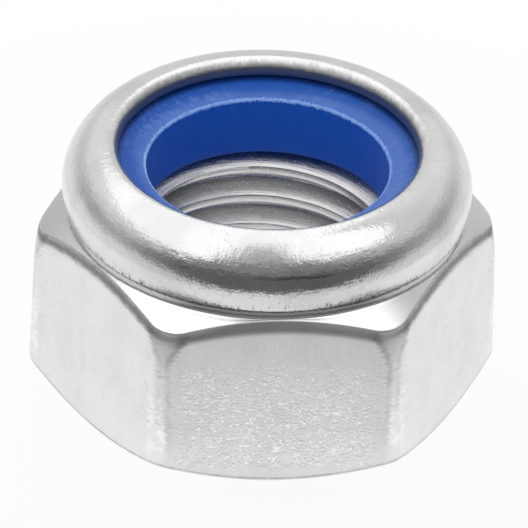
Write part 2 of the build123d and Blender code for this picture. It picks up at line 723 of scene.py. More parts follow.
@dataclass(frozen=True)
class NeckMarks:
    """Painted shade on the neck and in its two creases, with ragged specks above them, and a painted
    highlight and painted shade on the chamfer at its foot.
    """

    raggedness: float = 0.22
    upper_crease: Line = Line(11.75, 0.15, 0.05)
    lower_crease: Line = Line(11.28, 0.12, 0.04, 0.6)
    front_lift: float = 0.12
    crease_start: Span = (11.10, 11.18)
    crease_end: Span = (12.20, 12.0)
    crease_radius: Span = (11.5, 11.6)
    crease_strength: float = 0.85
    speck_strength: float = 0.8
    speck_mottle: float = 0.6
    speck_edge: Span = (0.54, 0.66)
    speck_height: Span = (12.6, 11.9)
    shade_start: Span = (11.10, 11.21)
    shade_lift: float = 0.10
    side_shade: float = 0.36
    front_shade: float = 0.54
    crown_start: Span = (9.0, 9.8)
    crown_end: Span = (11.24, 11.18)
    crown_radius: Span = (11.3, 11.5)
    crown_turn: float = 0.15
    crown_front: Span = (0.64, 0.84)
    crown_shine: float = 0.8
    crown_dullness: float = 0.30

    def draw(self, s: SteelSurface) -> "tuple[Signal, Signal]":
        """Draw the neck.

        Args:
            s: the steel's surface.

        Returns:
            Its painted shade, and the painted shade of its creases together with the specks.
        """
        ragged = s.z + s.jags.swing * self.raggedness
        lifted = ragged - s.in_front * self.front_lift
        # The creases' black is painted shade.
        crease_shade = ragged.lines(self.upper_crease) + lifted.lines(self.lower_crease)
        near = s.z.ease(*self.crease_start) * s.z.ease(*self.crease_end) * s.radius.ease(*self.crease_radius)
        specks = (s.jags + s.mottle.swing * self.speck_mottle).ease(*self.speck_edge)
        specks = specks * s.z.ease(*self.speck_height) * s.collar * self.speck_strength
        # Painted shade on the neck, deeper in front.
        shade = s.neck * (s.z - s.in_front * self.shade_lift).ease(*self.shade_start)
        shade = shade * (s.in_front * self.front_shade + self.side_shade)
        return shade, (crease_shade * near + specks).soften() * self.crease_strength

    def draw_crown(self, s: SteelSurface) -> "tuple[Signal, Signal]":
        """Draw the upper chamfer.

        Args:
            s: the steel's surface.

        Returns:
            Its painted highlight in front and its painted shade elsewhere.
        """
        # The chamfer's front gets a painted highlight and its other sides painted shade.
        crown = s.z.ease(*self.crown_start) * s.z.ease(*self.crown_end) * s.radius.ease(*self.crown_radius)
        crown = crown * (1 - s.flat)
        facing = (s.unit_y * -1.0 - s.unit_x * self.crown_turn).ease(*self.crown_front)
        return crown * facing * self.crown_shine, crown * (1 - facing) * self.crown_dullness


@dataclass(frozen=True)
class TurnedMarks:
    """The lines that the tap left along the thread and the lathe left on the bearing face, and painted shade
    in the thread's roots.
    """

    tapped: Pattern = Pattern(2.5, 15.0, 1.0, 2.0, 0.7)
    tapped_edge: Span = (8.36, 8.22)
    tapped_dark: Span = (0.45, 0.7)
    tapped_strength: float = 0.25
    chatter: Pattern = Pattern(55.0, 0.8, 1.0, 1.0, 0.5)
    chatter_height: float = 0.3
    faced: Pattern = Pattern(1.5, 9.0, 1.0, 3.0, 0.65)
    faced_strength: float = 0.35
    thread_strength: float = 0.28
    root: Span = (7.15, 7.75)
    root_strength: float = 0.12

    def draw(self, s: SteelSurface) -> "tuple[Signal, Signal, Signal, Signal]":
        """Draw the thread and the bearing face.

        Args:
            s: the steel's surface.

        Returns:
            Their dull places, their dark lines with the painted shade in the thread's roots, and the heights
            of the thread's and the face's lines.
        """
        lines = s.read_round(self.tapped, s.run) * s.radius.ease(*self.tapped_edge)
        turned = s.read_round(self.faced, s.radius)
        chatter = s.read_round(self.chatter, s.run)
        # Painted shade deep in the thread's roots.
        root = s.thread * s.radius.ease(*self.root)
        dull = s.thread * self.thread_strength + s.faced * turned * self.faced_strength
        dark = s.thread * lines.ease(*self.tapped_dark) * self.tapped_strength + root * self.root_strength
        return dull, dark, (lines + chatter * self.chatter_height) * s.thread, turned * s.faced


@dataclass(frozen=True)
class SteelFinish:
    """Bright cold-formed steel: scuffed flats, a burnished collar, a rough lip and turned thread flanks, with
    painted highlights and painted shade on them.
    """

    colour: Colour = (0.78, 0.78, 0.785, 1.0)
    # Bare steel, and painted highlights.
    fresh: Colour = (0.98, 0.98, 0.98, 1.0)
    flats: Colour = (0.86, 0.86, 0.86, 1.0)
    # Painted shade on the scuffed flats.
    pressed: Colour = (0.68, 0.68, 0.68, 1.0)
    # Used for real dullness, stains and scratches, and for painted shade.
    dull: Colour = (0.42, 0.42, 0.425, 1.0)
    # Used for painted shade and for the tap's dark lines.
    dark: Colour = (0.17, 0.17, 0.175, 1.0)
    # Painted shade in the neck's creases, with the specks.
    black: Colour = (0.05, 0.05, 0.052, 1.0)
    pressed_foot: Span = (4.5, 1.0)
    pressed_fade: float = 0.45
    stains: Pattern = Pattern(1.0, 0.6, 0.55, 3.0, 0.6)
    stain_edge: Span = (0.35, 0.75)
    stain_strength: float = 0.14
    flat_roughness: float = 0.34
    band_roughness: float = 0.50
    collar_roughness: float = 0.13
    low_collar_roughness: float = 0.16
    lip_roughness: float = 0.36
    thread_roughness: float = 0.26
    plain_roughness: float = 0.24
    grain_roughness: float = 0.08
    drift_roughness: float = 0.16
    jag_depth: float = 1.4e-5
    hammer_depth: float = 3.4e-5
    lathe_depth: float = 1.0e-5
    thread_depth: float = 1.4e-5
    grain_depth: float = 2.5e-6
    scuff_marks: ScuffHighlightsAndShade = ScuffHighlightsAndShade()
    corner_strokes: CornerShadingAndHairs = CornerShadingAndHairs()
    chamfer_wear: ChamferWearAndShade = ChamferWearAndShade()
    collar_marks: CollarMarks = CollarMarks()
    neck_marks: NeckMarks = NeckMarks()
    turned_marks: TurnedMarks = TurnedMarks()

    def build(self) -> bpy.types.Material:
        """Make the material.

        Returns:
            The steel material.
        """
        material, g = new_material("bright_steel")
        s = SteelSurface(g)
        ridge_highlight, ridge_shade = self.scuff_marks.draw(s)
        corner, shine, hairs = self.corner_strokes.draw(s)
        worn, painted_band_shade, bare, brim_shade, scratch = self.chamfer_wear.draw(s)
        dull_collar, dark_collar, low, rubbed = self.collar_marks.draw(s)
        neck_shade, crease_shade = self.neck_marks.draw(s)
        crown_shine, crown_shade = self.neck_marks.draw_crown(s)
        dull_thread, dark_thread, thread_lines, face_lines = self.turned_marks.draw(s)
        # Painted shade: the scuffed flats are darkened, less so towards their foot.
        pressed = s.flat * s.scuffed * (1 - s.z.ease(*self.pressed_foot) * self.pressed_fade)
        stained = s.flat * s.read(self.stains).ease(*self.stain_edge) * self.stain_strength
        coats = [
            (s.flat, self.flats),
            (pressed, self.pressed),
            (stained, self.dull),
            (dull_collar, self.dull),
            # Painted shade below the scuff ridges.
            (ridge_shade, self.dull),
            # Painted highlights on the scuff ridges and beside the corners.
            ((ridge_highlight + shine).soften(), self.fresh),
            (hairs + scratch, self.dull),
            # Painted shade at the corners' borders and along the worn band.
            ((corner + painted_band_shade).soften(), self.dull),
            (bare, self.fresh),
            # Painted shade of the brim under the chamfer.
            (brim_shade, self.dark),
            # Painted shade at the foot of the flats.
            (self.chamfer_wear.draw_foot(s), self.dull),
            # Painted shade on the lip's inner side and a painted dark line on the collar's front.
            (dark_collar, self.dark),
            # Painted highlight and painted shade on the upper chamfer.
            (crown_shine, self.fresh),
            (crown_shade, self.dull),
            # Painted shade on the neck and in its creases.
            (neck_shade, self.dark),
            (crease_shade, self.black),
            (dull_thread, self.dull),
            # The tap's dark lines, with painted shade in the thread's roots.
            (dark_thread, self.dark),
        ]
        tone = self.colour
        for share, colour in coats:
            tone = g.blend(share, tone, colour)
        surface = g.node(
            "BsdfPrincipled",
            None,
            {
                "Base Color": tone,
                "Metallic": 1.0,
                "Roughness": self.roughen(s, worn, low, rubbed),
                "Normal": self.emboss(s, low, thread_lines, face_lines),
            },
        )
        g.node("OutputMaterial", None, {"Surface": surface})
        return material

    def roughen(self, s: SteelSurface, worn: Signal, low: Signal, rubbed: Signal) -> Signal:
        """Add up the roughness.

        Args:
            s: the steel's surface.
            worn: the worn band.
            low: the collar's lower part.
            rubbed: the lip's inner side, which is rougher.

        Returns:
            The roughness.
        """
        return (
            s.flat * (self.flat_roughness - self.plain_roughness)
            + worn * (self.band_roughness - self.flat_roughness)
            + s.collar * (self.collar_roughness - self.plain_roughness)
            + low * self.low_collar_roughness
            + rubbed * (self.lip_roughness - self.collar_roughness)
            + s.thread * (self.thread_roughness - self.plain_roughness)
            + self.plain_roughness
            + s.grain.swing * self.grain_roughness
            + s.drift.swing * self.drift_roughness * s.collar
        )

    def emboss(self, s: SteelSurface, low: Signal, thread_lines: Signal, face_lines: Signal) -> Signal:
        """Stack the bumps.

        Args:
            s: the steel's surface.
            low: the collar's lower part, which is jagged most.
            thread_lines: the height of the thread's lines.
            face_lines: the height of the bearing face's lines.

        Returns:
            The normal.
        """
        marks = self.collar_marks
        jagged = s.jags * s.collar * (low + 1) * s.in_front.at_least(marks.calm_behind)
        layers = [
            (jagged, self.jag_depth),
            (s.mottle * s.collar, self.hammer_depth),
            (s.read_round(marks.rings, s.run) * s.collar, self.lathe_depth),
            (thread_lines, self.thread_depth),
            (face_lines, self.lathe_depth),
            (s.grain * (1 - s.thread), self.grain_depth),
        ]
        normal = None
        for height, depth in layers:
            normal = s.graph.bump(height, depth, normal)
        return normal


# ---------------------------------------------------------------------------
# Nylon finish
# ---------------------------------------------------------------------------


@dataclass(frozen=True)
class NylonFinish:
    """Blue moulded nylon: clear in the bore, rubbed and frosty on top, with painted shade where it runs under
    the lip and a painted highlight along its ragged rim.
    """

    bore: Colour = (0.0065, 0.098, 0.56, 1.0)
    top: Colour = (0.011, 0.086, 0.43, 1.0)
    frost: Colour = (0.090, 0.190, 0.55, 1.0)
    # The rim's pale colours are painted highlights.
    rim: Colour = (0.24, 0.42, 0.88, 1.0)
    torn: Colour = (0.42, 0.70, 0.98, 1.0)
    # Painted shade under the steel lip.
    deep: Colour = (0.0015, 0.012, 0.09, 1.0)
    roughness: float = 0.40
    frost_roughness: float = 0.15
    speck_roughness: float = 0.1
    specular: float = 0.22
    refraction: float = 1.53
    scrape_depth: float = 1.4e-5
    speck_depth: float = 4.0e-6
    scrapes: Pattern = Pattern(6.0, 2.2, 1.0, 3.0, 0.7)
    scrape_length: float = 34.0
    scrape_edge: Span = (0.46, 0.60)
    slow: Pattern = Pattern(1.0, 1.0, 0.30, 2.0, 0.5)
    slow_edge: Span = (0.40, 0.58)
    specks: Pattern = Pattern(1.0, 1.0, 6.5, 2.0, 0.65)
    speck_edge: Span = (0.42, 0.58)
    speck_least: float = 0.35
    trails: Pattern = Pattern(14.0, 0.12, 1.0, 3.0, 0.6)
    trail_edge: Span = (0.45, 0.75)
    trail_strength: float = 0.10
    haze_strength: float = 0.66
    haze_reach: Span = (8.6, 7.3)
    haze_inner: float = 0.55
    haze_slow: float = 0.5
    haze_side: Span = (0.2, 1.0)
    haze_side_gain: float = 0.35
    haze_edge: Span = (0.25, 0.95)
    frost_strength: float = 0.6
    contact: Span = (8.45, 8.85)
    contact_strength: float = 0.75
    rim_raggedness: float = 1.1
    rim_edge: Span = (0.45, 0.75)
    torn_side: Span = (-0.45, -0.9)
    torn_front: Span = (0.5, -0.1)
    torn_strength: float = 0.6

    def build(self) -> bpy.types.Material:
        """Make the material.

        Returns:
            The nylon material.
        """
        material, g = new_material("blue_nylon")
        s = Surface(g)
        top, rim = g.attribute("on_top"), g.attribute("on_rim")
        across, along = self.scrapes.across, self.scrapes.along
        scraped = g.combine(s.unit_x * across, s.unit_y * self.scrape_length, s.radius * along)
        scrape, slow, speck = g.clouds(scraped, self.scrapes), s.read(self.slow), s.read(self.specks)
        frosty = scrape.ease(*self.scrape_edge) * slow.ease(*self.slow_edge)
        frosty = frosty * speck.ease(*self.speck_edge).at_least(self.speck_least)
        haze = s.radius.ease(*self.haze_reach) * self.haze_inner + slow * self.haze_slow
        # The top is also made lighter towards +X.
        haze = (haze + s.unit_x.ease(*self.haze_side) * self.haze_side_gain).ease(*self.haze_edge)
        hazy = (haze * self.haze_strength + frosty * self.frost_strength).soften()
        trails = s.read_round(self.trails, s.z).ease(*self.trail_edge) * self.trail_strength
        # Painted highlight along the ragged rim, paler on the near left.
        ragged = (rim + speck.swing * self.rim_raggedness).ease(*self.rim_edge)
        torn = s.unit_x.ease(*self.torn_side) * s.unit_y.ease(*self.torn_front) * self.torn_strength
        colour = g.blend(trails, self.bore, self.frost)
        colour = g.blend(top, colour, self.top)
        colour = g.blend(top * hazy, colour, self.frost)
        # Painted shade on the top where it runs under the steel lip.
        colour = g.blend(top * s.radius.ease(*self.contact) * self.contact_strength, colour, self.deep)
        colour = g.blend(ragged, colour, g.blend(torn, self.rim, self.torn))
        rough = frosty * top * self.frost_roughness + speck.swing * self.speck_roughness
        surface = g.node(
            "BsdfPrincipled",
            None,
            {
                "Base Color": colour,
                "Roughness": rough + self.roughness,
                "IOR": self.refraction,
                "Specular IOR Level": self.specular,
                "Normal": g.bump(speck, self.speck_depth, g.bump(scrape * top, self.scrape_depth)),
            },
        )
        g.node("OutputMaterial", None, {"Surface": surface})
        return material


# ---------------------------------------------------------------------------
# Turned shapes
# ---------------------------------------------------------------------------


class Zone(Enum):
    """The kinds of surface along the nut's section."""

    PLAIN = auto()
    FLAT = auto()
    NECK = auto()
    CREVICE = auto()
    COLLAR = auto()


class Point(NamedTuple):
    """A point of a profile: its distance from the axis, its height and the surface that it is on."""

    radius: float
    height: float
    zone: Zone = Zone.PLAIN


class Corner(NamedTuple):
    """A corner of a profile.

    Attributes:
        radius: its distance from the axis.
        height: its height.
        before: how far before the corner the bend that softens it starts.
        after: how far after the corner that bend ends.
        rows: the points on the bend, or 1 at a sharp corner.
        span: the points inside the straight run after the corner.
        zone: the surface that starts at the corner.
    """

    radius: float
    height: float
    before: float = 0.0
    after: float = 0.0
    rows: int = 1
    span: int = 0
    zone: Zone = Zone.PLAIN


def soft_chain(corners: "list[Corner]") -> "list[Point]":
    """Join corners by straight runs, with a parabola round each softened one.

    Args:
        corners: the corners in order; the first and the last are never softened.

    Returns:
        The points of the profile: rows points at each bend, then span points on the run after it.
    """
    spots = [Vector((corner.radius, corner.height)) for corner in corners]
    chain: "list[Point]" = []
    leave = spots[0]
    for index, corner in enumerate(corners):
        spot = spots[index]
        soft = 0 < index < len(corners) - 1 and corner.rows > 1
        start = spot + (spots[index - 1] - spot).normalized() * corner.before if soft else spot
        if index:
            earlier = corners[index - 1]
            for step in range(earlier.span):
                chain.append(Point(*leave.lerp(start, (step + 1) / (earlier.span + 1)), earlier.zone))
        if soft:
            end = spot + (spots[index + 1] - spot).normalized() * corner.after
            for step in range(corner.rows):
                share = step / (corner.rows - 1)
                bent = start.lerp(spot, share).lerp(spot.lerp(end, share), share)
                chain.append(Point(*bent, corners[index - 1].zone if share < 0.5 else corner.zone))
            leave = end
        else:
            chain.append(Point(*spot, corner.zone))
            leave = spot
    return chain


def arc(
    centre: Point, across: float, up: float, start: float, end: float, rows: int, zone: Zone = Zone.PLAIN
) -> "list[Point]":
    """Sample an arc of an ellipse.

    Args:
        centre: its centre.
        across: its half width.
        up: its half height.
        start: the first angle in degrees, from the outward direction towards up.
        end: the last angle.
        rows: the number of points.
        zone: the surface that they are on.

    Returns:
        The arc's points.
    """
    points = []
    for step in range(rows):
        turn = math.radians(start + (end - start) * step / (rows - 1))
        radius, height = centre.radius + across * math.cos(turn), centre.height + up * math.sin(turn)
        points.append(Point(radius, height, zone))
    return points


def curve(knots: "list[tuple[float, float]]", rows: int, zone: Zone) -> "list[Point]":
    """Sample a cubic curve.

    Args:
        knots: its start, its two handles and its end.
        rows: the number of points.
        zone: the surface that they are on.

    Returns:
        The curve's points.
    """
    first, leave, arrive, last = (Vector(knot) for knot in knots)
    points = []
    for step in range(rows):
        share = step / (rows - 1)
        rest = 1 - share
        spot = first * rest**3 + leave * (3 * rest**2 * share)
        spot = spot + arrive * (3 * rest * share**2) + last * share**3
        points.append(Point(*spot, zone))
    return points


def lengths(points: "list[Point]") -> "list[float]":
    """Add up the distances along a profile.

    Args:
        points: the profile's points.

    Returns:
        Each point's distance from the first one, along the profile.
    """
    run = [0.0]
    for low, high in zip(points, points[1:]):
        run.append(run[-1] + math.dist(low[:2], high[:2]))
    return run


@dataclass
class Lathe:
    """Turns a profile about the nut's axis, with its columns crowded at the hexagon's corners."""

    columns: int = 360
    sectors: int = 6
    crowding: float = 0.7

    def angle(self, column: float) -> float:
        """Return a column's angle in radians."""
        even = math.tau * column / self.columns
        return even - self.crowding * math.sin(self.sectors * even) / self.sectors

    def turn(
        self, mesh: bmesh.types.BMesh, profile: "list[Point]", closed: bool = False, climb: float = 0.0
    ) -> "list[tuple[bmesh.types.BMVert, int, int]]":
        """Spin a profile once round the axis.

        Args:
            mesh: the mesh that takes the new faces.
            profile: the profile's points.
            closed: whether its last point is joined to its first.
            climb: how far a full turn rises, which keeps its two ends apart.

        Returns:
            Each new vertex, with its row in the profile and its column.
        """
        row_layer = mesh.verts.layers.int.get("row") or mesh.verts.layers.int.new("row")
        sector_layer = mesh.verts.layers.int.get("sector") or mesh.verts.layers.int.new("sector")
        older = set(mesh.verts)
        ring = [mesh.verts.new((point.radius, 0.0, point.height)) for point in profile]
        for row, vert in enumerate(ring):
            vert[row_layer] = row
        edges = [mesh.edges.new(pair) for pair in zip(ring, ring[1:])]
        if closed:
            edges.append(mesh.edges.new((ring[-1], ring[0])))
        steps = self.columns // self.sectors
        wedge = math.tau / self.sectors
        bmesh.ops.spin(
            mesh,
            geom=ring + edges,
            cent=(0, 0, 0),
            axis=(0, 0, 1),
            dvec=(0, 0, climb / self.columns),
            angle=wedge,
            steps=steps,
            use_merge=False,
            use_duplicate=False,
        )
        first = [vert for vert in mesh.verts if vert not in older]
        faces = list(dict.fromkeys(face for vert in first for face in vert.link_faces))
        for sector in range(1, self.sectors):
            copied = bmesh.ops.duplicate(mesh, geom=faces)["geom"]
            verts = [part for part in copied if isinstance(part, bmesh.types.BMVert)]
            turned = Matrix.Rotation(wedge * sector, 3, "Z")
            bmesh.ops.rotate(mesh, cent=(0, 0, 0), matrix=turned, verts=verts)
            bmesh.ops.translate(mesh, vec=(0, 0, climb * sector / self.sectors), verts=verts)
            for vert in verts:
                vert[sector_layer] = sector
        placed = []
        for vert in mesh.verts:
            if vert in older:
                continue
            row, sector = vert[row_layer], vert[sector_layer]
            ahead = Matrix.Rotation(-wedge * sector, 3, "Z") @ vert.co
            step = round(math.atan2(ahead.y, ahead.x) / wedge * steps)
            placed.append((vert, row, step + sector * steps))
        return placed


def place_vertex(vert: bmesh.types.BMVert, point: Point, angle: float) -> None:
    """Move a vertex to a profile's point at an angle in radians."""
    vert.co = (point.radius * math.cos(angle), point.radius * math.sin(angle), point.height)


def make_object(mesh: bmesh.types.BMesh, name: str, material: bpy.types.Material) -> bpy.types.Object:
    """Make a bmesh an object in metres.

    Args:
        mesh: the shape in millimetres, which is freed.
        name: the new object's name.
        material: the object's only material.

    Returns:
        The new object, which sits at the origin.
    """
    bmesh.ops.scale(mesh, vec=(MILLIMETRE,) * 3, verts=mesh.verts)
    data = bpy.data.meshes.new(name)
    mesh.to_mesh(data)
    mesh.free()
    data.materials.append(material)
    made = bpy.data.objects.new(name, data)
    bpy.context.scene.collection.objects.link(made)
    return made


def settle_order(mesh: bmesh.types.BMesh) -> None:
    """Sort a bmesh's parts by their places, because spin leaves them in another order at each run.

    Args:
        mesh: the mesh that is sorted.
    """
    layers = mesh.verts.layers.float.values()
    keys = (
        (mesh.verts, lambda vert: (*vert.co, *(vert[layer] for layer in layers))),
        (mesh.edges, lambda edge: sorted(vert.index for vert in edge.verts)),
        (mesh.faces, lambda face: sorted(vert.index for vert in face.verts)),
    )
    for parts, key in keys:
        for rank, part in enumerate(sorted(parts, key=key)):
            part.index = rank
        parts.sort()
        parts.index_update()


def finish_mesh(
    mesh: bmesh.types.BMesh, name: str, crease: float, material: bpy.types.Material
) -> bpy.types.Object:
    """Close a bmesh's seams, turn its faces outwards and make it an object.

    Args:
        mesh: the finished shape in millimetres, which is freed.
        name: the new object's name.
        crease: edges that bend by more degrees than this are shaded sharp.
        material: the object's only material.

    Returns:
        The new object, in metres.
    """
    settle_order(mesh)
    bmesh.ops.remove_doubles(mesh, verts=mesh.verts, dist=WELD_DISTANCE)
    bmesh.ops.dissolve_degenerate(mesh, dist=SLIVER_LENGTH, edges=mesh.edges)
    bmesh.ops.delete(mesh, geom=[vert for vert in mesh.verts if not vert.link_faces], context="VERTS")
    bmesh.ops.recalc_face_normals(mesh, faces=mesh.faces)
    for edge in mesh.edges:
        edge.smooth = edge.calc_face_angle(0.0) < math.radians(crease)
    for face in mesh.faces:
        face.smooth = True
    gaps = sum(not edge.is_manifold for edge in mesh.edges)
    made = make_object(mesh, name, material)
    triangles = sum(len(polygon.vertices) - 2 for polygon in made.data.polygons)
    log.info("%s: %d triangles, %d open edges", name, triangles, gaps)
    return made


# ---------------------------------------------------------------------------
# The nut's sizes
# ---------------------------------------------------------------------------


@dataclass(frozen=True)
class NutSizes:
    """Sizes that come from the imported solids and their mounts, in millimetres."""

    across_flats: float
    across_corners: float
    height: float
    minor_radius: float
    seat_floor: float
    seat_radius: float
    ring_bore: float
    ring_radius: float
    ring_top: float

    @classmethod
    def from_frame(cls, record: dict) -> "NutSizes":
        """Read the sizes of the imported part.

        Args:
            record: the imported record.

        Returns:
            The sizes.
        """
        mounts = {mount["name"]: mount["dims"] for mount in record["mounts"]}
        low, high = (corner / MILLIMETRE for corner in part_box("nut_body"))
        ring_low, ring_high = (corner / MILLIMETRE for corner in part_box("nylon_ring"))
        return cls(
            across_flats=high.y - low.y,
            across_corners=high.x - low.x,
            height=high.z,
            minor_radius=mounts["thread"]["r_mm"],
            seat_floor=ring_low.z,
            seat_radius=ring_high.x + RING_CLEARANCE,
            ring_bore=mounts["locking_bore"]["r_mm"],
            ring_radius=ring_high.x,
            ring_top=ring_high.z,
        )

    @property
    def flat_distance(self) -> float:
        """Return the distance from the axis to a flat."""
        return self.across_flats / 2

    @property
    def corner_radius(self) -> float:
        """Return the radius of the hexagon's corners, from its two widths."""
        stretch = 1 / math.cos(SIXTH_TURN / 2)
        return (self.flat_distance * stretch - self.across_corners / 2) / (stretch - 1)


# ---------------------------------------------------------------------------
# Steel nut
# ---------------------------------------------------------------------------


def ramp(value: float, start: float, end: float) -> float:
    """Return how far a value has come from start to end, from 0 to 1."""
    return min(max((value - start) / (end - start), 0.0), 1.0)


def smooth(share: float) -> float:
    """Return a share from 0 to 1 with both of its ends eased."""
    return share * share * (3 - 2 * share)


@dataclass
class Hexagon:
    """The hexagon between its two turned cones, worn under the upper one and most at its corners."""

    sizes: NutSizes
    height: float = 11.2
    bearing_radius: float = 11.7
    neck_radius: float = 11.65
    neck_start: float = 0.15
    cone: float = 30.0
    worn_corner_radius: float = 2.2
    worn_height: float = 0.62
    worn_depth: float = 0.25
    corner_worn_height: float = 1.6
    corner_worn_depth: float = 0.27
    corner_reach: float = 5.5
    inner_ring: float = 0.2
    inner_ring_share: float = 0.4
    wall_rows: int = 11
    rubbed: "tuple[float, ...]" = (0.2, 1.0, 0.2, 0.2, 1.0, 0.2)
    rubbed_overlap: float = 0.06

    def off_corner(self, angle: float) -> float:
        """Return the angle in radians between a direction and the nearest corner."""
        return abs((angle + SIXTH_TURN / 2) % SIXTH_TURN - SIXTH_TURN / 2)

    def reach(self, angle: float, rounding: float) -> "tuple[float, float]":
        """Find the hexagon's edge in one direction.

        Args:
            angle: the direction in radians.
            rounding: the radius of its corners.

        Returns:
            The distance from the axis, and how far along the edge the corner's rounding ends:
            negative on the rounding, positive on the flat.
        """
        off, half, apothem = self.off_corner(angle), SIXTH_TURN / 2, self.sizes.flat_distance
        hub = (apothem - rounding) / math.cos(half)
        along = apothem * (math.tan(half) - math.tan(half - off))
        end = apothem * math.tan(half) - hub * math.sin(half)
        if along >= end:
            return apothem / math.cos(half - off), along - end
        inside = max(rounding**2 - (hub * math.sin(off)) ** 2, 0.0)
        return hub * math.cos(off) + math.sqrt(inside), along - end

    def scuffing(self, angle: float) -> float:
        """Find how scuffed the hexagon is in one direction, which changes at its corners.

        Args:
            angle: the direction in radians.

        Returns:
            0 on a clean flat and 1 on the most scuffed one.
        """
        side = int(angle // SIXTH_TURN) % 6
        across = (angle % SIXTH_TURN) / SIXTH_TURN
        beside = (side + (1 if across > 0.5 else -1)) % 6
        share = 0.5 * ramp(min(across, 1 - across), self.rubbed_overlap, 0.0)
        return self.rubbed[side] * (1 - share) + self.rubbed[beside] * share

    def corners(self, angle: float) -> "list[Corner]":
        """List the corners of the hexagon's outline in one direction.

        Args:
            angle: the direction in radians.

        Returns:
            The corners from the bearing face to the neck: the flat's foot is the second of them
            and the edge under the upper cone is the fourth.
        """
        slope = math.tan(math.radians(self.cone))
        low, _ = self.reach(angle, self.sizes.corner_radius)
        high, _ = self.reach(angle, self.worn_corner_radius)
        near = smooth(ramp(math.degrees(self.off_corner(angle)), self.corner_reach, 0.0))
        depth = self.worn_depth + (self.corner_worn_depth - self.worn_depth) * near
        height = self.worn_height + (self.corner_worn_height - self.worn_height) * near
        foot = (low - self.bearing_radius) * slope
        edge = high - depth
        top = self.height - (edge - self.neck_radius) * slope
        ring = min(self.inner_ring, (edge - self.neck_radius) * self.inner_ring_share)
        wall, worn = self.wall_rows, top - height
        return [
            Corner(self.bearing_radius, 0.0, before=0.12, after=0.08, rows=3, span=1),
            Corner(low, foot, before=0.2, after=0.34, rows=6, span=wall, zone=Zone.FLAT),
            Corner(high, worn, before=0.25 + near, after=0.2 + 0.7 * near, rows=7, span=3, zone=Zone.FLAT),
            Corner(edge, top, before=0.13, after=0.08, rows=6, span=2),
            Corner(self.neck_radius + ring, self.height - ring * slope),
            Corner(self.neck_radius, self.height, before=0.03, after=0.06, rows=3, zone=Zone.CREVICE),
            Corner(self.neck_radius, self.height + self.neck_start, span=1, zone=Zone.NECK),
        ]


@dataclass
class Thread:
    """A right-hand coarse thread with worn crests, cut back by a countersink at both ends."""

    sizes: NutSizes
    pitch: float = 2.0
    major_radius: float = 8.0
    crest_width: float = 1 / 4
    root_width: float = 1 / 8
    countersink_radius: float = 8.4
    countersink_angle: float = 30.0
    crest_at_back: float = 9.49
    spare_turns: int = 2
    overrun: float = 0.3

    def profile(self) -> "list[Point]":
        """Draw the thread's section, whose crests and roots are shares of the pitch wide.

        Returns:
            Its points at the angle 0, from a turn below the bearing face to the seat's floor.
        """
        crest, root = self.sizes.minor_radius, self.major_radius
        half_crest, half_root = self.pitch * self.crest_width / 2, self.pitch * self.root_width / 2
        phase = self.crest_at_back - self.pitch / 4
        first = phase - self.pitch * (math.ceil(phase / self.pitch) + self.spare_turns)
        floor = self.sizes.seat_floor
        corners = []
        for turn in range(math.ceil((floor - first) / self.pitch) + 1):
            on_crest = first + turn * self.pitch
            in_root = on_crest + self.pitch / 2
            corners += [
                Corner(crest, on_crest - half_crest, before=0.05, after=0.03, rows=3, span=1),
                Corner(crest, on_crest + half_crest, before=0.03, after=0.05, rows=3, span=3),
                Corner(root, in_root - half_root, before=0.10, after=0.06, rows=3),
                Corner(root, in_root + half_root, before=0.06, after=0.10, rows=3, span=3),
            ]
        lowest, highest = -self.pitch - self.overrun, floor + self.overrun
        return [point for point in soft_chain(corners) if lowest < point.height < highest]

    def mouth(self, height: float) -> float:
        """Find how wide the countersinks open.

        Args:
            height: the height at which they are measured.

        Returns:
            The radius of the nearer countersink at that height.
        """
        slope = math.tan(math.radians(self.countersink_angle))
        depth = min(height, self.sizes.seat_floor - height)
        return self.countersink_radius - depth / slope

    def cut_back(self, chain: "list[Point]") -> "list[Point]":
        """Cut one column of the thread with the countersinks and the two ends.

        Args:
            chain: the column's points from below to above.

        Returns:
            The points, with one on each edge that the countersinks leave.
        """
        free = [point.radius - self.mouth(point.height) for point in chain]
        cut = [
            point if gap >= 0 else Point(self.mouth(point.height), point.height)
            for point, gap in zip(chain, free)
        ]
        for row in range(len(chain) - 1):
            if (free[row] < 0) != (free[row + 1] < 0):
                share = free[row] / (free[row] - free[row + 1])
                low, high = chain[row], chain[row + 1]
                edge = Point(
                    low.radius + (high.radius - low.radius) * share,
                    low.height + (high.height - low.height) * share,
                )
                cut[row if share < 0.5 else row + 1] = edge
        floor = self.sizes.seat_floor
        return [
            point
            if 0.0 < point.height < floor
            else Point(self.countersink_radius, min(max(point.height, 0.0), floor))
            for point in cut
        ]


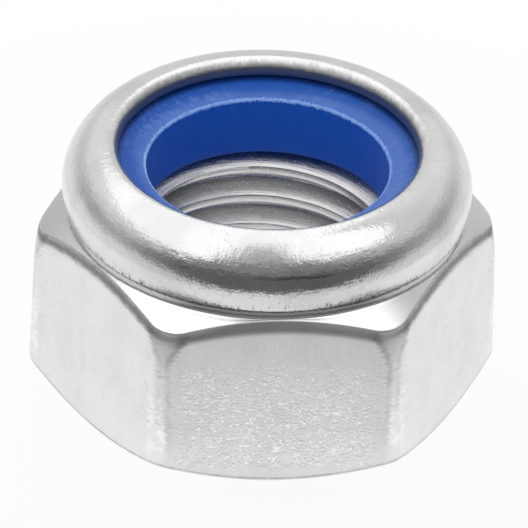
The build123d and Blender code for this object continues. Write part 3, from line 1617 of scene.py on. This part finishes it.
@dataclass
class Collar:
    """The collar that is rolled in over the nylon ring, and the seat inside it."""

    sizes: NutSizes
    foot_height: float = 11.8
    foot_radius: float = 11.8
    shoulder_start: float = 13.0
    shoulder_width: float = 2.5
    fullness: float = 0.49
    nose_radius: float = 0.7
    lip_radius: float = 8.8
    lip_land: float = 0.4
    lip_edge: float = 0.2
    seat_step: float = 1.2
    seat_bend: float = 0.1
    barrel_rows: int = 7
    shoulder_rows: int = 26
    nose_rows: int = 15
    roof_rows: int = 9

    def outline(self) -> "list[Point]":
        """Draw the collar from its foot to the seat's floor.

        Returns:
            The points of its section.
        """
        widest, top, floor = self.sizes.flat_distance, self.sizes.height, self.sizes.seat_floor
        nose = Point(widest - self.shoulder_width, top - self.nose_radius)
        shoulder = [
            (widest, self.shoulder_start),
            (widest, self.shoulder_start + self.fullness * (top - self.shoulder_start)),
            (nose.radius + self.fullness * self.shoulder_width, top),
            (nose.radius, top),
        ]
        land = nose.height - self.lip_land
        bend = self.sizes.seat_radius - self.lip_radius
        roof = arc(Point(self.lip_radius, land - bend), bend, bend, 90, 0, self.roof_rows)
        lip = [
            Corner(self.lip_radius, nose.height, zone=Zone.COLLAR),
            Corner(self.lip_radius, land, self.lip_edge, self.lip_edge, rows=5, zone=Zone.CREVICE),
            Corner(*roof[1][:2], zone=Zone.CREVICE),
        ]
        seat = [
            Corner(*roof[-1][:2], span=2),
            Corner(self.sizes.seat_radius, floor, self.seat_bend, self.seat_bend, rows=3, span=1),
            Corner(self.sizes.seat_radius - self.seat_step, floor),
        ]
        return (
            self._barrel()
            + curve(shoulder, self.shoulder_rows, Zone.COLLAR)[1:]
            + arc(nose, self.nose_radius, self.nose_radius, 90, 180, self.nose_rows, Zone.COLLAR)[1:]
            + soft_chain(lip)[1:]
            + roof[2:]
            + soft_chain(seat)[1:]
        )

    def _barrel(self) -> "list[Point]":
        """Draw the bulging side between the foot and the shoulder.

        Returns:
            The points of its arc.
        """
        rise = self.shoulder_start - self.foot_height
        bulge = self.sizes.flat_distance - self.foot_radius
        radius = (rise**2 + bulge**2) / (2 * bulge)
        centre = Point(self.sizes.flat_distance - radius, self.shoulder_start)
        foot_turn = -math.degrees(math.asin(rise / radius))
        return arc(centre, radius, radius, foot_turn, 0, self.barrel_rows, Zone.COLLAR)

    def lip(self, point: Point) -> float:
        """Return how far a point is round the nose: 0 on its top and 1 on the lip's inner side."""
        return ramp(point.radius, self.lip_radius + self.nose_radius, self.lip_radius)


@dataclass
class SteelNut:
    """The steel nut in one closed piece: hexagon, collar, seat and thread."""

    sizes: NutSizes
    lathe: Lathe = field(default_factory=Lathe)
    neck_edge: float = 0.05
    foot_lead: float = 0.02
    sharp_angle: float = 38.0
    marks: "tuple[str, ...]" = (
        "on_flat",
        "below",
        "above",
        "along",
        "scuffed",
        "on_neck",
        "on_collar",
        "on_lip",
        "run",
    )

    def __post_init__(self) -> None:
        """Derive the parts of the nut from its sizes."""
        self.hexagon = Hexagon(self.sizes)
        self.collar = Collar(self.sizes)
        self.thread = Thread(self.sizes)

    def outside(self, angle: float) -> "list[Point]":
        """Draw everything but the thread in one direction.

        Args:
            angle: the direction in radians.

        Returns:
            The points from the lower countersink round the outside to the upper one.
        """
        mouth, neck = self.thread.countersink_radius, self.hexagon.neck_radius
        foot_height, foot_radius = self.collar.foot_height, self.collar.foot_radius
        edge = self.neck_edge
        body = soft_chain(
            [
                Corner(mouth, 0.0, span=3),
                *self.hexagon.corners(angle),
                Corner(neck, foot_height, edge, edge, rows=3, zone=Zone.CREVICE),
                Corner(foot_radius, foot_height, edge, edge, rows=3, zone=Zone.COLLAR),
                Corner(foot_radius + self.foot_lead, foot_height + 2 * edge, zone=Zone.COLLAR),
            ]
        )
        return body[:-1] + self.collar.outline()[1:] + [Point(mouth, self.sizes.seat_floor)]

    def build(self, material: bpy.types.Material) -> bpy.types.Object:
        """Model the nut.

        Args:
            material: its steel.

        Returns:
            The finished object.
        """
        mesh = bmesh.new()
        layer = {name: mesh.verts.layers.float.new(name) for name in self.marks}
        self._turn_outside(mesh, layer)
        self._cut_thread(mesh, layer)
        return finish_mesh(mesh, "steel_lock_nut", self.sharp_angle, material)

    def _turn_outside(self, mesh: bmesh.types.BMesh, layer: "dict[str, bmesh.types.BMLayerItem]") -> None:
        """Turn the outside, pull its rows out to the hexagon and mark its surfaces.

        Args:
            mesh: the mesh that takes the outside.
            layer: its layers, by the name of the mark.
        """
        angles = [self.lathe.angle(column) for column in range(self.lathe.columns)]
        sections = [self.outside(angle) for angle in angles]
        run = lengths(self.outside(SIXTH_TURN / 2))
        for vert, row, column in self.lathe.turn(mesh, sections[0]):
            column %= self.lathe.columns
            angle, point = angles[column], sections[column][row]
            place_vertex(vert, point, angle)
            for name, value in self._mark(point, angle, run[row]).items():
                vert[layer[name]] = value

    def _mark(self, point: Point, angle: float, run: float) -> "dict[str, float]":
        """Describe the surface at a point of the outside for the finish.

        Args:
            point: the point of the section.
            angle: the section's direction in radians.
            run: the point's distance along the section.

        Returns:
            The values of its marks, by name.
        """
        marks = {"run": run, "on_neck": float(point.zone in (Zone.NECK, Zone.CREVICE))}
        if point.zone is Zone.FLAT:
            _, foot, _, edge, *_ = self.hexagon.corners(angle)
            marks["on_flat"] = 1.0
            marks["below"] = edge.height - point.height
            marks["above"] = point.height - foot.height
            marks["along"] = self.hexagon.reach(angle, 0.0)[1]
            marks["scuffed"] = self.hexagon.scuffing(angle)
        if point.zone is Zone.COLLAR:
            marks["on_collar"] = 1.0
            marks["on_lip"] = self.collar.lip(point)
        return marks

    def _cut_thread(self, mesh: bmesh.types.BMesh, layer: "dict[str, bmesh.types.BMLayerItem]") -> None:
        """Turn the thread as a rising sheet and cut it back at both ends.

        Args:
            mesh: the mesh that takes the thread.
            layer: its layers, by the name of the mark.
        """
        profile = self.thread.profile()
        run = lengths(profile)
        cut: "dict[int, list[Point]]" = {}
        for vert, row, column in self.lathe.turn(mesh, profile, climb=self.thread.pitch):
            angle = self.lathe.angle(column)
            if column not in cut:
                rise = self.thread.pitch * angle / math.tau
                risen = [Point(point.radius, point.height + rise) for point in profile]
                cut[column] = self.thread.cut_back(risen)
            place_vertex(vert, cut[column][row], angle)
            vert[layer["run"]] = run[row]


# ---------------------------------------------------------------------------
# Nylon ring
# ---------------------------------------------------------------------------


@dataclass
class NylonRing:
    """The blue ring that is clamped in the seat, dished on top and ragged at its rim."""

    sizes: NutSizes
    lip_radius: float = 8.8
    lip_gap: float = 0.14
    shoulder_turn: float = 76.0
    shoulder_rows: int = 9
    dish: float = 0.5
    rim_round: float = 0.25
    rim_rise: float = 0.02
    rim_reach: float = 0.35
    rim_ragged: float = 0.035
    coarse_waves: float = 2.1
    fine_waves: float = 5.3
    fine_share: float = 0.6
    top_margin: float = 0.12
    sharp_angle: float = 50.0
    lathe: Lathe = field(default_factory=lambda: Lathe(columns=300, crowding=0.0))

    def section(self) -> "list[Point]":
        """Draw the ring's section.

        Returns:
            Its points, up the outside, over the top, down the bore and back along the floor.
        """
        floor, top, bore = self.sizes.seat_floor, self.sizes.ring_top, self.sizes.ring_bore
        bend = self.sizes.ring_radius - self.lip_radius
        centre = Point(self.lip_radius, top - bend)
        shoulder = arc(centre, bend, bend, 0, self.shoulder_turn, self.shoulder_rows)
        rim, height = self.rim_round, top - self.dish + self.rim_rise
        inside = [
            Corner(*shoulder[-1][:2], span=2),
            Corner(self.lip_radius, top - self.lip_gap, before=0.2, after=0.2, rows=3, span=9),
            Corner(bore, height, before=rim, after=rim, rows=7, span=7),
            Corner(bore, floor, before=0.12, after=0.12, rows=4, span=2),
            Corner(self.sizes.ring_radius, floor),
        ]
        return [Point(self.sizes.ring_radius, floor)] + shoulder + soft_chain(inside)[1:-1]

    def build(self, material: bpy.types.Material) -> bpy.types.Object:
        """Model the ring.

        Args:
            material: its nylon.

        Returns:
            The finished object.
        """
        mesh = bmesh.new()
        top_layer, rim_layer = (mesh.verts.layers.float.new(name) for name in ("on_top", "on_rim"))
        section = self.section()
        rim = Point(self.sizes.ring_bore, self.sizes.ring_top - self.dish)
        for vert, row, column in self.lathe.turn(mesh, section, closed=True):
            angle, point = self.lathe.angle(column), section[row]
            near_rim = max(0.0, 1 - math.dist(point[:2], rim[:2]) / self.rim_reach)
            place_vertex(vert, point, angle)
            coarse, fine = noise.noise(vert.co * self.coarse_waves), noise.noise(vert.co * self.fine_waves)
            lift = self.rim_ragged * (coarse + self.fine_share * fine) * near_rim
            place_vertex(vert, Point(point.radius + lift, point.height + lift), angle)
            vert[rim_layer] = near_rim
            vert[top_layer] = float(point.height > rim.height - self.top_margin)
        return finish_mesh(mesh, "blue_locking_ring", self.sharp_angle, material)


# ---------------------------------------------------------------------------
# Studio
# ---------------------------------------------------------------------------


@dataclass(frozen=True)
class TentLight:
    """How bright the light tent is around the nut, at angles from -180 over 0 at its front to 180.

    Its ceiling is bright and its walls are paler, with a dark slot at the front. A hood hangs in
    front, where the ceiling's edge is softer.
    """

    above: float = 1.28
    wall: Stops = (
        (-180, 0.74),
        (-150, 0.86),
        (-105, 0.86),
        (-60, 0.78),
        (-25, 0.50),
        (20, 0.50),
        (55, 0.72),
        (90, 0.76),
        (130, 0.88),
        (180, 0.74),
    )
    slot: Stops = (
        (-180, 0.0),
        (-120, 0.30),
        (-98, 0.50),
        (-76, 0.42),
        (-58, 0.66),
        (-40, 0.77),
        (0, 0.73),
        (40, 0.79),
        (60, 0.62),
        (78, 0.42),
        (92, 0.42),
        (125, 0.15),
        (180, 0.0),
    )
    slot_height: float = 25.0
    slot_lift: float = 3.0
    slot_lifted: Span = (20.0, 50.0)
    slot_half: float = 9.0
    slot_widening: float = 12.0
    slot_widened: Span = (75.0, 5.0)
    slot_soft: float = 3.0
    slot_softening: float = 4.0
    slot_softened: Span = (20.0, 60.0)
    slot_fade: float = 0.32
    slot_faded: Span = (31.0, 37.0)
    edge: Stops = (
        (-180, 56),
        (-150, 56),
        (-132, 52),
        (-95, 48),
        (-70, 43),
        (-44, 41),
        (-30, 45),
        (-14, 67),
        (2, 67),
        (13, 49),
        (60, 47),
        (71, 54),
        (79, 78),
        (130, 74),
        (155, 58),
        (180, 56),
    )
    edge_soft: float = 3.0
    hood_soft: float = 12.0
    hood_left: Span = (-32.0, -18.0)
    hood_right: Span = (14.0, 4.0)
    border: Span = (-1.0, 1.0)
    card: float = 0.96
    card_front: Span = (75.0, 30.0)
    card_fade: Stops = ((13, 1.0), (20, 0.97), (28, 0.88), (38, 0.70))

    def build(self, radius: float) -> bpy.types.Material:
        """Make the tent's material.

        Args:
            radius: the tent's radius in metres.

        Returns:
            A material that shines by itself.
        """
        material, g = new_material("tent_cloth")
        x, y, z = self._place(g)
        turn = self._turn(g, x, y)
        rise = g.math("ARCSINE", g.math("MINIMUM", z / radius, 1.0)) * math.degrees(1)
        off = abs(turn)
        centre = off.ease(*self.slot_lifted) * self.slot_lift + self.slot_height
        half = off.ease(*self.slot_widened) * self.slot_widening + self.slot_half
        soft = off.ease(*self.slot_softened) * self.slot_softening + self.slot_soft
        band = ((half - abs(rise - centre)) / soft).ease(*self.border)
        depth = g.course(turn, self.slot) * (1 - rise.ease(*self.slot_faded) * self.slot_fade)
        hood = turn.ease(*self.hood_left) * turn.ease(*self.hood_right)
        lit = (rise - g.course(turn, self.edge)) / (hood * self.hood_soft + self.edge_soft)
        lit = lit.ease(*self.border)
        wall = g.course(turn, self.wall) * (1 - depth * band)
        return self._shine(material, g, wall * (1 - lit) + lit * self.above)

    def build_card(self) -> bpy.types.Material:
        """Make the material of the card under the nut, which is paler behind it and greyer in front.

        Returns:
            A material that shines by itself.
        """
        material, g = new_material("card_paper")
        x, y, _ = self._place(g)
        away = (x * x + y * y) ** 0.5 / MILLIMETRE
        front = abs(self._turn(g, x, y)).ease(*self.card_front)
        return self._shine(material, g, g.course(away, self.card_fade) * front + (1 - front) * self.card)

    @staticmethod
    def _place(g: Graph) -> "tuple[Signal, Signal, Signal]":
        """Read the place on the tent or the card.

        Args:
            g: the graph of its material.

        Returns:
            The place's x, y and z in metres.
        """
        x = g.node("SeparateXYZ", None, {0: g.node("TexCoord", None, None, "Object")}, "X")
        return x, x.other("Y"), x.other("Z")

    @staticmethod
    def _turn(g: Graph, x: Signal, y: Signal) -> Signal:
        """Return the angle in degrees from the front to a place."""
        return g.math("ARCTAN2", x, y * -1.0) * math.degrees(1)

    @staticmethod
    def _shine(material: bpy.types.Material, g: Graph, light: Signal) -> bpy.types.Material:
        """Let a material shine without being sampled as a lamp.

        Args:
            material: the material.
            g: its graph.
            light: how brightly it shines.

        Returns:
            The material.
        """
        shine = g.node("Emission", None, {"Color": WHITE, "Strength": light})
        g.node("OutputMaterial", None, {"Surface": shine})
        material.cycles.emission_sampling = "NONE"
        return material


@dataclass(frozen=True)
class FloorFinish:
    """A white floor that keeps a soft shadow."""

    glow: float = 0.93

    def build(self) -> bpy.types.Material:
        """Make the material.

        Returns:
            The floor's material.
        """
        material, g = new_material("white_floor")
        camera = g.node("LightPath", None, None, "Is Camera Ray")
        seen = g.math("MAXIMUM", camera, camera.other("Is Glossy Ray"))
        seen = g.math("MAXIMUM", seen, camera.other("Is Transmission Ray"))
        matt = g.node("BsdfDiffuse", None, {"Color": WHITE})
        white = g.node("Emission", None, {"Color": WHITE, "Strength": 1.0})
        surface = g.node("MixShader", None, {0: seen * self.glow, 1: matt, 2: white})
        g.node("OutputMaterial", None, {"Surface": surface})
        return material


@dataclass
class Studio:
    """The floor, the light tent, the card and the camera.

    The camera looks at the aim from a distance, turned by the azimuth from the front and raised by
    the elevation. Then it is rolled, and slid across and up.
    """

    azimuth: float = -5.178
    elevation: float = 33.269
    roll: float = 2.068
    distance: float = 1000.0
    lens: float = 1163.6
    aim: "tuple[float, float, float]" = (0.0, 0.0, 8.0)
    slide: Span = (-0.034, -0.513)
    clip: Span = (0.1, 10.0)
    floor_radius: float = 400.0
    floor_sides: int = 64
    tent_radius: float = 38.0
    tent_foot: float = 0.2
    tent_sides: int = 96
    tent_rings: int = 48
    card_hole: float = 13.0
    card_height: float = 0.05

    def build(self) -> None:
        """Set up the whole studio."""
        self.view_settings()
        self.make_world()
        self.make_floor()
        self.make_tent()
        self.make_card()
        self.make_camera()

    @staticmethod
    def view_settings() -> None:
        """Show colours as they are."""
        bpy.context.scene.view_settings.view_transform = "Standard"

    @staticmethod
    def make_world() -> None:
        """Surround everything with plain white."""
        world = bpy.data.worlds.new("white_room")
        world.use_nodes = True
        g = Graph(world.node_tree)
        white = g.node("Background", None, {"Color": WHITE, "Strength": 1.0})
        g.node("OutputWorld", None, {"Surface": white})
        bpy.context.scene.world = world

    def make_floor(self) -> None:
        """Lay the floor at the height of the bearing face."""
        mesh = bmesh.new()
        bmesh.ops.create_circle(mesh, cap_ends=True, segments=self.floor_sides, radius=self.floor_radius)
        make_object(mesh, "floor", FloorFinish().build())

    def make_tent(self) -> None:
        """Put up the tent, which lights the nut and shows only in its gloss."""
        mesh = bmesh.new()
        bmesh.ops.create_uvsphere(
            mesh, u_segments=self.tent_sides, v_segments=self.tent_rings, radius=self.tent_radius
        )
        whole, foot = mesh.verts[:] + mesh.edges[:] + mesh.faces[:], (0, 0, self.tent_foot)
        bmesh.ops.bisect_plane(mesh, geom=whole, plane_co=foot, plane_no=(0, 0, -1), clear_outer=True)
        for face in mesh.faces:
            face.smooth = True
        tent = make_object(mesh, "light_tent", TentLight().build(self.tent_radius * MILLIMETRE))
        tent.visible_camera = False

    def make_card(self) -> None:
        """Lay the card that shows only in the nut's gloss, just above the floor round the nut."""
        mesh = bmesh.new()
        outer = bmesh.ops.create_circle(
            mesh, cap_ends=False, segments=self.tent_sides, radius=self.tent_radius
        )["verts"]
        edges = list(dict.fromkeys(edge for vert in outer for edge in vert.link_edges))
        made = bmesh.ops.extrude_edge_only(mesh, edges=edges)["geom"]
        inner = [part for part in made if isinstance(part, bmesh.types.BMVert)]
        shrink = self.card_hole / self.tent_radius
        bmesh.ops.scale(mesh, vec=(shrink, shrink, 1.0), verts=inner)
        bmesh.ops.translate(mesh, vec=(0, 0, self.card_height), verts=mesh.verts)
        card = make_object(mesh, "grey_card", TentLight().build_card())
        card.visible_camera = card.visible_diffuse = card.visible_shadow = False

    def make_camera(self) -> None:
        """Aim the camera."""
        turn, tilt, roll = (math.radians(angle) for angle in (self.azimuth, self.elevation, self.roll))
        right = Vector((math.cos(turn), math.sin(turn), 0.0))
        back = Vector((math.sin(turn) * math.cos(tilt), -math.cos(turn) * math.cos(tilt), math.sin(tilt)))
        up = back.cross(right)
        across = right * math.cos(roll) + up * math.sin(roll)
        over = up * math.cos(roll) - right * math.sin(roll)
        spot = Vector(self.aim) + back * self.distance + across * self.slide[0] + over * self.slide[1]
        data = bpy.data.cameras.new("camera")
        data.lens = self.lens
        data.clip_start, data.clip_end = self.clip
        camera = bpy.data.objects.new("camera", data)
        bpy.context.scene.collection.objects.link(camera)
        axes = Matrix((across, over, back)).transposed()
        camera.matrix_world = Matrix.Translation(spot * MILLIMETRE) @ axes.to_4x4()
        bpy.context.scene.camera = camera


# ---------------------------------------------------------------------------
# Building
# ---------------------------------------------------------------------------


def seat_piece(piece: bpy.types.Object, node: str) -> None:
    """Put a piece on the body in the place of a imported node.

    Args:
        piece: the new piece.
        node: the node that it replaces.
    """
    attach(piece, BODY)
    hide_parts(node)
    log.info("%s stands for %s", piece.name, node)


def main() -> None:
    """Build the nut, the ring and the studio."""
    logging.basicConfig(level=logging.INFO, format="%(name)s: %(message)s")
    sizes = NutSizes.from_frame(frame["record"])
    seat_piece(SteelNut(sizes).build(SteelFinish().build()), "nut_body")
    seat_piece(NylonRing(sizes).build(NylonFinish().build()), "nylon_ring")
    Studio().build()


if __name__ == "__main__":
    main()
